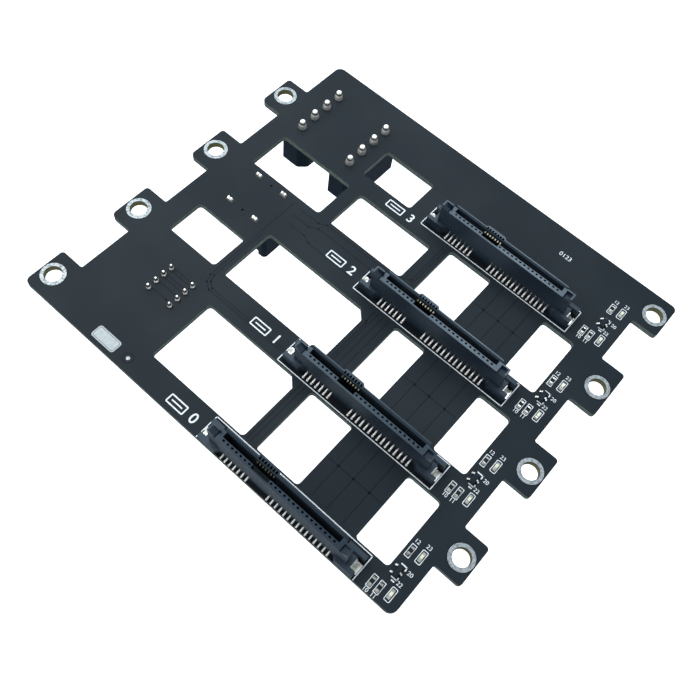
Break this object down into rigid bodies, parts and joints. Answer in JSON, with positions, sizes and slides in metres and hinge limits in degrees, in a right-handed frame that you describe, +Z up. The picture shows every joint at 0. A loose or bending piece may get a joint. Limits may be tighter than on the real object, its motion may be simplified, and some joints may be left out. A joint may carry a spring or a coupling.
{
  "type": "drive backplane board",
  "caption": "Black drive backplane circuit board with upright drive receptacles, rectangular air windows, screw tabs and power, fan and host sockets underneath.",
  "frame": {"origin": "midway between the first and last screw holes of the left-hand column, on the underside of the board where it sits on its standoffs", "axes": "+X along the drive receptacles, +Y from bay 0 to bay 3, +Z up out of the receptacles towards the drives"},
  "size_m": [0.1237, 0.1079, 0.0226],
  "materials": {
    "board_mask": "matt",
    "pad_metal": "satin",
    "resistor_black": "matt",
    "led_white": "matt",
    "led_lens": "gloss",
    "solder": "satin",
    "epoxy_black": "matt",
    "tin_plate": "satin",
    "header_plastic": "satin",
    "fan_header_plastic": "satin",
    "gold_plate": "satin",
    "contact_plate": "satin",
    "receptacle_plastic": "satin"
  },
  "bodies": {
    "root": {"chip_end_joints": "solder", "chip_resistors": "resistor_black", "circuit_board": "board_mask", "fan_header_1_housing": "fan_header_plastic", "fan_header_1_pins": "tin_plate", "fan_header_2_housing": "fan_header_plastic", "fan_header_2_pins": "tin_plate", "fan_header_solder_joints": "solder", "host_connector_contacts": "gold_plate", "host_connector_housing": "header_plastic", "host_connector_legs": "tin_plate", "host_connector_solder_joints": "solder", "indicator_led_bases": "led_white", "indicator_led_lenses": "led_lens", "power_header_1_housing": "header_plastic", "power_header_1_pins": "tin_plate", "power_header_2_housing": "header_plastic", "power_header_2_pins": "tin_plate", "power_header_solder_joints": "solder", "receptacle_0_housing": "receptacle_plastic", "receptacle_0_power_contacts": "contact_plate", "receptacle_0_secondary_contacts": "gold_plate", "receptacle_0_signal_contacts": "contact_plate", "receptacle_0_solder_tabs": "tin_plate", "receptacle_1_housing": "receptacle_plastic", "receptacle_1_power_contacts": "contact_plate", "receptacle_1_secondary_contacts": "gold_plate", "receptacle_1_signal_contacts": "contact_plate", "receptacle_1_solder_tabs": "tin_plate", "receptacle_2_housing": "receptacle_plastic", "receptacle_2_power_contacts": "contact_plate", "receptacle_2_secondary_contacts": "gold_plate", "receptacle_2_signal_contacts": "contact_plate", "receptacle_2_solder_tabs": "tin_plate", "receptacle_3_housing": "receptacle_plastic", "receptacle_3_power_contacts": "contact_plate", "receptacle_3_secondary_contacts": "gold_plate", "receptacle_3_signal_contacts": "contact_plate", "receptacle_3_solder_tabs": "tin_plate", "screw_hole_rings": "pad_metal", "transistor_leads": "tin_plate", "transistors": "epoxy_black"}
  },
  "joints": []
}
